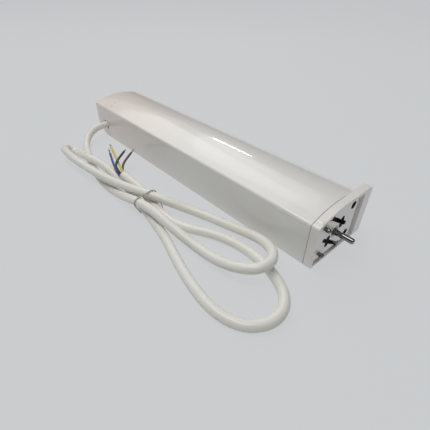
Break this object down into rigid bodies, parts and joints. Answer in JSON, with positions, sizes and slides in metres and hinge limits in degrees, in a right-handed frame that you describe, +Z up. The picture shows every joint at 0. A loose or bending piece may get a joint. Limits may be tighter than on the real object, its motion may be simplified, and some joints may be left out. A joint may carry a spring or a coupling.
{
  "type": "curtain motor",
  "caption": "Long white curtain motor with an arched top, a flanged drive end with bayonet slots and a short steel shaft, and its supply cable tied in a figure-eight hank.",
  "frame": {"origin": "centre of the underside of the motor, halfway along its length with the shaft, and halfway across its width with the flange; the cable is left out", "axes": "+X along the drive shaft, out of the drive end; +Y from the cable side to the flange side; +Z up to the arched top"},
  "size_m": [0.3147, 0.1365, 0.0398],
  "materials": {
    "white_gloss": "gloss",
    "jacket": "satin",
    "white_nylon": "satin",
    "polished_steel": "polished",
    "screw_steel": "satin",
    "gear_steel": "satin",
    "bronze": "satin",
    "copper": "gloss",
    "gearbox_alloy": "satin",
    "motor_steel": "satin",
    "ferrite": "matte",
    "graphite": "matte",
    "black_plastic": "satin",
    "rubber": "matte",
    "board": "satin",
    "terminal_green": "satin",
    "relay_blue": "satin",
    "coil_yellow": "satin",
    "heatsink": "satin",
    "clear": "gloss",
    "lead_red": "satin",
    "core_blue": "satin",
    "core_earth": "satin",
    "core_black": "satin",
    "core_brown": "satin",
    "tie_wire": "satin"
  },
  "bodies": {
    "housing": {"bare_strands": "copper", "black_core": "core_black", "blue_core": "core_blue", "board_pillars": "white_nylon", "brown_core": "core_brown", "brush_holders": "bronze", "brushes": "graphite", "button_board": "board", "cable_clamp": "white_nylon", "cable_clamp_screws": "screw_steel", "capacitors": "black_plastic", "driver_heatsink": "heatsink", "earth_core": "core_earth", "encoder_board": "board", "end_cap": "white_gloss", "end_cap_screws": "screw_steel", "front_damper": "rubber", "gearbox_back": "gearbox_alloy", "gearbox_bolts": "screw_steel", "gearbox_front": "gearbox_alloy", "gearbox_ring": "gearbox_alloy", "inner_leads": "lead_red", "light_pipe": "clear", "locating_pins": "polished_steel", "main_board": "board", "motor_bushes": "bronze", "motor_can": "motor_steel", "motor_end_bell": "black_plastic", "motor_leads": "lead_red", "motor_magnets": "ferrite", "output_bush": "bronze", "radio_module": "screw_steel", "rear_damper": "rubber", "relays": "relay_blue", "set_switch": "black_plastic", "sleeve": "white_gloss", "supply_cable_hank": "jacket", "supply_cable_inner": "jacket", "supply_cable_lead": "jacket", "tail_cap": "white_gloss", "tail_cap_screws": "screw_steel", "terminal_block": "terminal_green", "transformer": "coil_yellow", "twist_tie": "tie_wire"},
    "rotor": {"motor_shaft": "screw_steel", "motor_pinion": "bronze", "armature": "motor_steel", "windings": "copper", "commutator": "copper", "encoder_magnet": "ferrite"},
    "first_carrier": {"first_carrier": "gear_steel"},
    "output_shaft": {"output_carrier": "gear_steel", "drive_shaft": "polished_steel"},
    "set_button": {"set_button": "clear"},
    "input_planet_1": {"input_planet_1": "white_nylon"},
    "input_planet_2": {"input_planet_2": "white_nylon"},
    "input_planet_3": {"input_planet_3": "white_nylon"},
    "output_planet_1": {"output_planet_1": "gear_steel"},
    "output_planet_2": {"output_planet_2": "gear_steel"},
    "output_planet_3": {"output_planet_3": "gear_steel"}
  },
  "joints": [
    {"name": "rotor_spin", "type": "hinge", "parent": "housing", "child": "rotor", "pos_m": [0.0734, -0.0078, 0.0195], "axis": [1, 0, 0], "continuous": true},
    {"name": "first_carrier_spin", "type": "hinge", "parent": "housing", "child": "first_carrier", "pos_m": [0.1194, -0.0078, 0.0195], "axis": [1, 0, 0], "continuous": true},
    {"name": "output_spin", "type": "hinge", "parent": "housing", "child": "output_shaft", "pos_m": [0.1294, -0.0078, 0.0195], "axis": [1, 0, 0], "continuous": true},
    {"name": "input_planet_1_spin", "type": "hinge", "parent": "first_carrier", "child": "input_planet_1", "pos_m": [0.115, -0.0006, 0.0195], "axis": [1, 0, 0], "continuous": true},
    {"name": "input_planet_2_spin", "type": "hinge", "parent": "first_carrier", "child": "input_planet_2", "pos_m": [0.115, -0.0114, 0.02574], "axis": [1, 0, 0], "continuous": true},
    {"name": "input_planet_3_spin", "type": "hinge", "parent": "first_carrier", "child": "input_planet_3", "pos_m": [0.115, -0.0114, 0.01326], "axis": [1, 0, 0], "continuous": true},
    {"name": "output_planet_1_spin", "type": "hinge", "parent": "output_shaft", "child": "output_planet_1", "pos_m": [0.1242, -0.0006, 0.0195], "axis": [1, 0, 0], "continuous": true},
    {"name": "output_planet_2_spin", "type": "hinge", "parent": "output_shaft", "child": "output_planet_2", "pos_m": [0.1242, -0.0114, 0.02574], "axis": [1, 0, 0], "continuous": true},
    {"name": "output_planet_3_spin", "type": "hinge", "parent": "output_shaft", "child": "output_planet_3", "pos_m": [0.1242, -0.0114, 0.01326], "axis": [1, 0, 0], "continuous": true},
    {"name": "set_button_press", "type": "slide", "parent": "housing", "child": "set_button", "axis": [0, 0, -1], "range_m": [0, 0.0004], "stiffness_N_per_m": 500, "springref_m": -0.0006}
  ],
  "couplings": [
    {"joint": "first_carrier_spin", "follows": "rotor_spin", "ratio": 0.2},
    {"joint": "output_spin", "follows": "rotor_spin", "ratio": 0.04},
    {"joint": "input_planet_1_spin", "follows": "rotor_spin", "ratio": -0.53333},
    {"joint": "input_planet_2_spin", "follows": "rotor_spin", "ratio": -0.53333},
    {"joint": "input_planet_3_spin", "follows": "rotor_spin", "ratio": -0.53333},
    {"joint": "output_planet_1_spin", "follows": "rotor_spin", "ratio": -0.10667},
    {"joint": "output_planet_2_spin", "follows": "rotor_spin", "ratio": -0.10667},
    {"joint": "output_planet_3_spin", "follows": "rotor_spin", "ratio": -0.10667}
  ]
}
